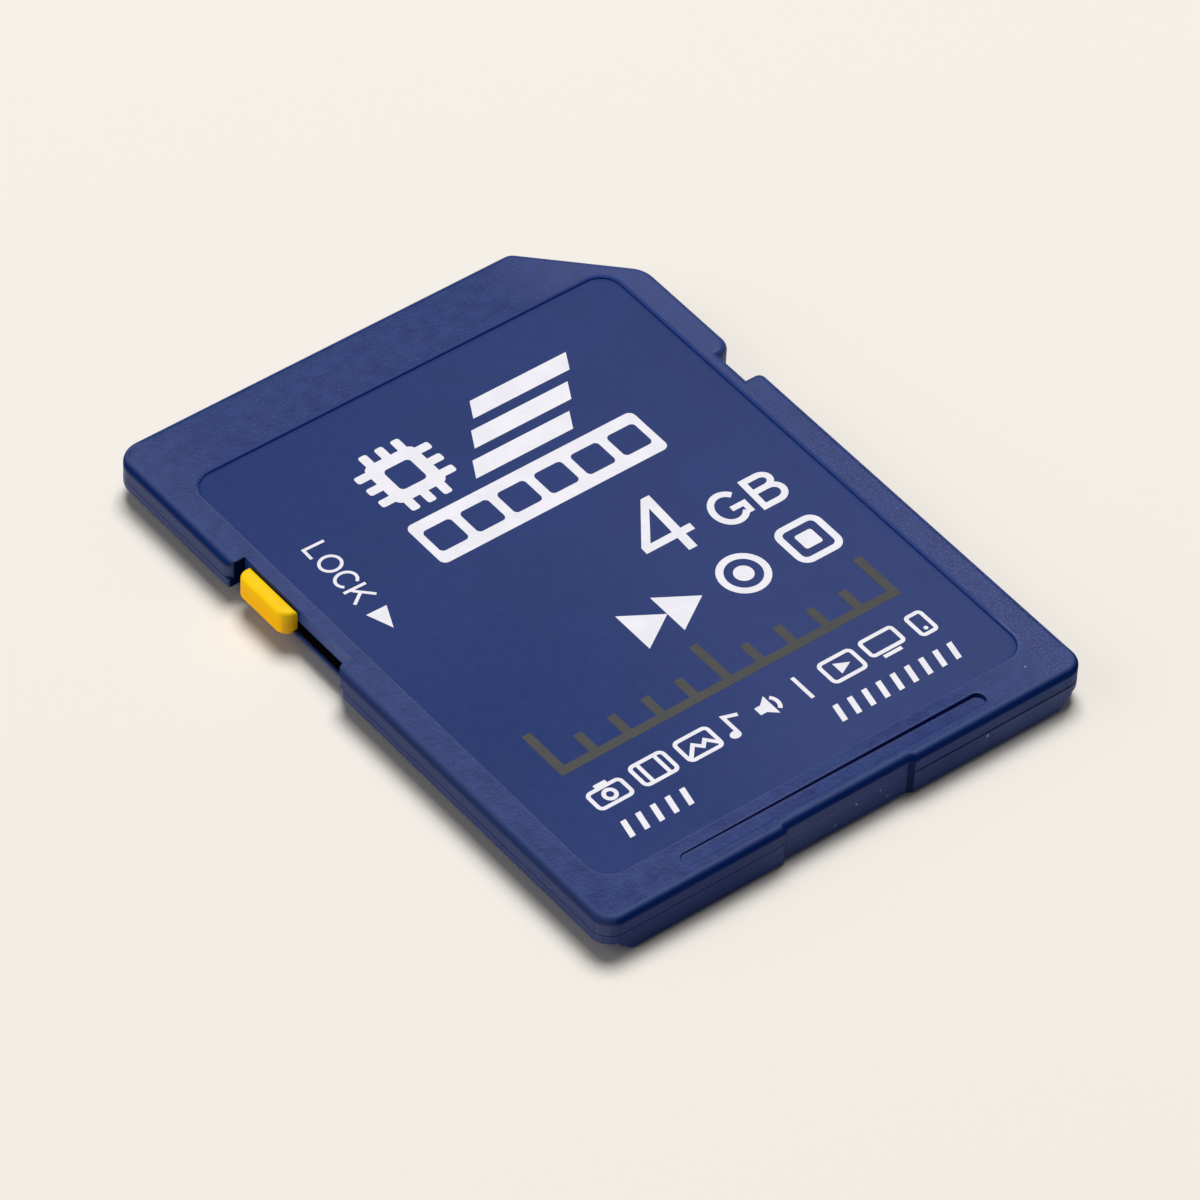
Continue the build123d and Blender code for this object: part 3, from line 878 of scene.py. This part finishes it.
def ink(name, dark, light):
    """Dull ink: two near colours mixed by a cloud, over a fine bump."""
    material, place = start_finish(name)
    cloud = noise(place, 0.8 * mm, 3.0)
    values = {
        "Base Color": cloud.step(0.3, 0.7).mix(dark, light),
        "Roughness": 0.45 + cloud * 0.1,
        "Specular IOR Level": 0.3,
        "Normal": bump(place, noise(place, 0.12 * mm), 0.002 * mm),
    }
    return end_finish(material, place, values)


def add_object(name, data):
    """A new object at the origin that shows this data."""
    made = bpy.data.objects.new(name, data)
    bpy.context.scene.collection.objects.link(made)
    return made


def lay_ink(name, marks, finish, lift=0.0):
    """One piece from many marks, in millimetres across and with heights of 0 and 1 scaled to the ink."""
    points, faces, start = [], [], 0
    for rank, (mark, mark_faces) in enumerate(marks):
        height = lift + ink_height + rank * ink_stagger
        points.append(mark * [mm, mm, height] + [0, 0, film_top])
        faces += [[corner + start for corner in face] for face in mark_faces]
        start += len(mark)
    mesh = bpy.data.meshes.new(name)
    mesh.from_pydata(np.concatenate(points).tolist(), [], faces)
    mesh.materials.append(finish)
    made = add_object(name, mesh)
    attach(made, "card")
    print(name, "marks:", len(marks), "points:", start)


white_ink = ink("white_ink", seen(236, 235, 243), seen(243, 242, 249))
grey_ink = ink("grey_ink", seen(58, 59, 60), seen(64, 65, 66))
white_marks = lock_mark + capacity_mark + chip_mark + stripes + film_strip + keys + signs + dashes
lay_ink("white_print", white_marks, white_ink)
lay_ink("grey_print", scale, grey_ink)
lay_ink("blue_print", film_windows + chip_window, finishes["label"], lift=window_lift)


# %% [markdown]
# ## Floor
# The card lies on plain pale paper. A flat grid of a few faces is enough for it, wide enough to fill the
# picture from any side, and just below the card so that their faces don't share a plane.

# %% Floor
floor_half = 3.0
floor_height = -0.01 * mm
floor_lines = 9


def flat_grid(name, half, height, count):
    """Square grid on Z = height: X and Y each run evenly from -half to half."""
    steps = np.linspace(-half, half, count)
    x, y = np.meshgrid(steps, steps)
    points = np.stack([x, y, np.full_like(x, height)], axis=-1).reshape(-1, 3)
    corner = (np.arange(count - 1)[:, None] * count + np.arange(count - 1)).ravel()
    faces = np.stack([corner, corner + 1, corner + count + 1, corner + count], axis=-1)
    mesh = bpy.data.meshes.new(name)
    mesh.from_pydata(points.tolist(), [], faces.tolist())
    return add_object(name, mesh)


def floor_paper():
    """Pale paper with hardly any gloss."""
    material, place = start_finish("floor_paper")
    values = {"Base Color": seen(245, 241, 232), "Roughness": 0.9, "Specular IOR Level": 0.1}
    return end_finish(material, place, values)


floor = flat_grid("floor", floor_half, floor_height, floor_lines)
floor.data.materials.append(floor_paper())
print("floor:", len(floor.data.polygons), "faces")


# %% [markdown]
# ## Light
# A key light high behind the card gives the upper face its level and a thin veil of shine, a weak one on the
# left opens up that edge, and a dim even world fills the rest. Each is given as its share of the plain level,
# at which a white floor renders as white, so the shares add up to about 1.

# %% Light
light_tint = (1.0, 0.99, 0.985)
world_share = 0.1


def towards(azimuth, elevation):
    """Unit vector from the card: the azimuth turns it from -Y towards X, and the elevation lifts it."""
    turn, lift = math.radians(azimuth), math.radians(elevation)
    return Vector((math.sin(turn) * math.cos(lift), -math.cos(turn) * math.cos(lift), math.sin(lift)))


def soft_box(name, azimuth, elevation, distance, size, share):
    """Area light aimed at the card. Its power makes share of the plain level on the floor below it."""
    lamp = bpy.data.lights.new(name, "AREA")
    lamp.shape = "RECTANGLE"
    lamp.size, lamp.size_y = size
    lamp.energy = share * math.pi**2 * distance**2 / math.sin(math.radians(elevation))
    lamp.color = light_tint
    made = add_object(name, lamp)
    made.location = towards(azimuth, elevation) * distance
    made.rotation_mode = "QUATERNION"
    made.rotation_quaternion = towards(azimuth, elevation).to_track_quat("Z", "Y")
    print(name, "power in watts:", round(lamp.energy, 2))


soft_box("key_box", azimuth=140, elevation=72, distance=1.2, size=(0.6, 0.6), share=0.89)
soft_box("left_box", azimuth=-112, elevation=32, distance=1.0, size=(0.9, 0.7), share=0.09)

world = bpy.data.worlds.new("studio")
world.use_nodes = True
sky = world.node_tree.nodes["Background"]
sky.inputs["Color"].default_value = seen(250, 250, 252)
sky.inputs["Strength"].default_value = world_share
bpy.context.scene.world = world


# %% [markdown]
# ## Camera
# The camera stands where the photograph was taken from: its angles, distance and lens were fitted to the
# card's edges. A long lens from afar keeps the edges nearly parallel. The picture's colours are shown as they
# are, with the Standard view.

# %% Camera
view_target = Vector((-0.70, -1.25, 1.05)) * mm
view_azimuth = -40.105
view_elevation = 45.043
view_roll = 2.894
view_distance = 339.2 * mm
view_lens = 257.75

lens = bpy.data.cameras.new("camera")
lens.lens = view_lens
lens.sensor_width = 36.0
lens.clip_start = 0.01
lens.clip_end = 20.0
view_back = towards(view_azimuth, view_elevation)
roll = Quaternion((0, 0, 1), math.radians(view_roll))
camera = add_object("camera", lens)
camera.location = view_target + view_back * view_distance
camera.rotation_mode = "QUATERNION"
camera.rotation_quaternion = view_back.to_track_quat("Z", "Y") @ roll
bpy.context.scene.camera = camera
bpy.context.scene.view_settings.view_transform = "Standard"
print("camera in mm:", [round(value / mm, 1) for value in camera.location])


# %% [markdown]
